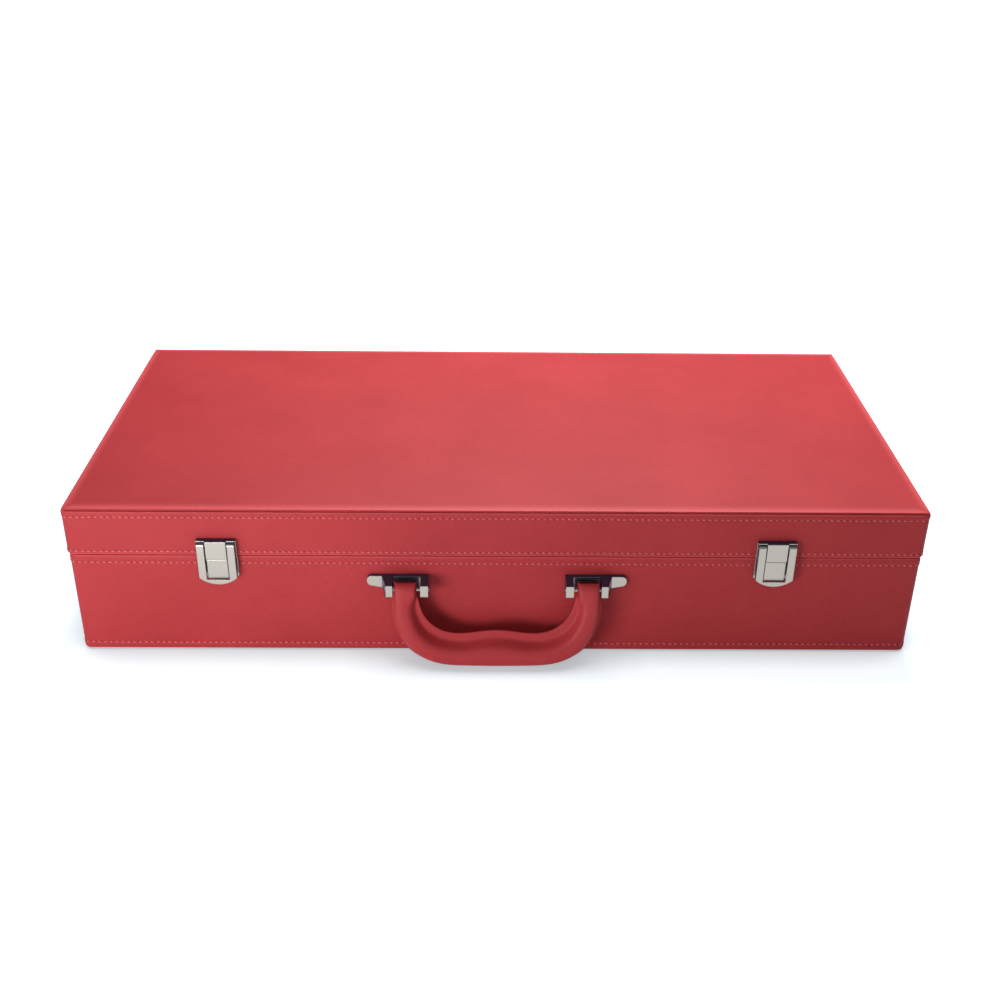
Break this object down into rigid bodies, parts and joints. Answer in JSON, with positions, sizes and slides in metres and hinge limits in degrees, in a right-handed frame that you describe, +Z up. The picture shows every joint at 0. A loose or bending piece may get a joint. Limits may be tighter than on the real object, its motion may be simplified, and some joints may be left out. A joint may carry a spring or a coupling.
{
  "type": "mahjong set carrying case",
  "caption": "Flat rectangular leatherette-covered carrying case with a padded hinged lid, flap latches, a swinging padded handle and a lined, partitioned inside.",
  "frame": {"origin": "middle of the underside, on the surface the case stands on", "axes": "X along the case's length, left to right seen from the handle side; Y from the handle side to the hinge side; Z up"},
  "size_m": [0.54, 0.2906, 0.1056],
  "materials": {
    "leatherette": "fine-grained red coated fabric",
    "sole_sheet": "plain red coated fabric",
    "velvet": "short black velvet pile on card",
    "foam": "open-cell sheet foam",
    "core_plastic": "moulded",
    "fibreboard": "raw medium-density fibreboard",
    "plated_fasteners": "zinc plated",
    "nickel_plate": "bright nickel plate"
  },
  "bodies": {
    "base": {"accessory_partition": "velvet", "base_band": "leatherette", "base_bottom_board": "fibreboard", "base_floor_liner": "velvet", "base_front_board": "fibreboard", "base_front_liner": "velvet", "base_left_board": "fibreboard", "base_left_liner": "velvet", "base_rear_board": "fibreboard", "base_rear_liner": "velvet", "base_right_board": "fibreboard", "base_right_liner": "velvet", "bottom_cover": "sole_sheet", "handle_bracket_screws": "plated_fasteners", "handle_screw_washers": "plated_fasteners", "hinge_base_screws": "plated_fasteners", "latch_catch_screws": "plated_fasteners", "left_handle_bracket": "nickel_plate", "left_handle_pin": "nickel_plate", "left_hinge_base_leaf": "nickel_plate", "left_hinge_pin": "nickel_plate", "left_latch_catch_plate": "nickel_plate", "rack_partition": "velvet", "right_handle_bracket": "nickel_plate", "right_handle_pin": "nickel_plate", "right_hinge_base_leaf": "nickel_plate", "right_hinge_pin": "nickel_plate", "right_latch_catch_plate": "nickel_plate", "tile_partition": "velvet"},
    "lid": {"hinge_lid_screws": "plated_fasteners", "latch_hinge_screws": "plated_fasteners", "left_hinge_lid_leaf": "nickel_plate", "left_latch_hinge_plate": "nickel_plate", "left_latch_pin": "nickel_plate", "lid_band": "leatherette", "lid_ceiling_liner": "velvet", "lid_front_board": "fibreboard", "lid_front_liner": "velvet", "lid_left_board": "fibreboard", "lid_left_liner": "velvet", "lid_rear_board": "fibreboard", "lid_rear_liner": "velvet", "lid_right_board": "fibreboard", "lid_right_liner": "velvet", "lid_top_board": "fibreboard", "lid_top_cover": "leatherette", "lid_top_foam": "foam", "right_hinge_lid_leaf": "nickel_plate", "right_latch_hinge_plate": "nickel_plate", "right_latch_pin": "nickel_plate"},
    "handle": {"handle_core": "core_plastic", "handle_front_cover": "leatherette", "handle_back_cover": "leatherette"},
    "left_flap": {"left_latch_flap": "nickel_plate"},
    "right_flap": {"right_latch_flap": "nickel_plate"}
  },
  "joints": [
    {"name": "lid_hinge", "type": "hinge", "parent": "base", "child": "lid", "pos_m": [0, 0.133, 0.0722], "axis": [-1, 0, 0], "range_deg": [0, 100]},
    {"name": "handle_swing", "type": "hinge", "parent": "base", "child": "handle", "pos_m": [0, -0.1403, 0.0545], "axis": [-1, 0, 0], "range_deg": [0, 173]},
    {"name": "left_latch", "type": "hinge", "parent": "lid", "child": "left_flap", "pos_m": [-0.1753, -0.1332, 0.0817], "axis": [-1, 0, 0], "range_deg": [0, 105]},
    {"name": "right_latch", "type": "hinge", "parent": "lid", "child": "right_flap", "pos_m": [0.1753, -0.1332, 0.0817], "axis": [-1, 0, 0], "range_deg": [0, 105]}
  ]
}
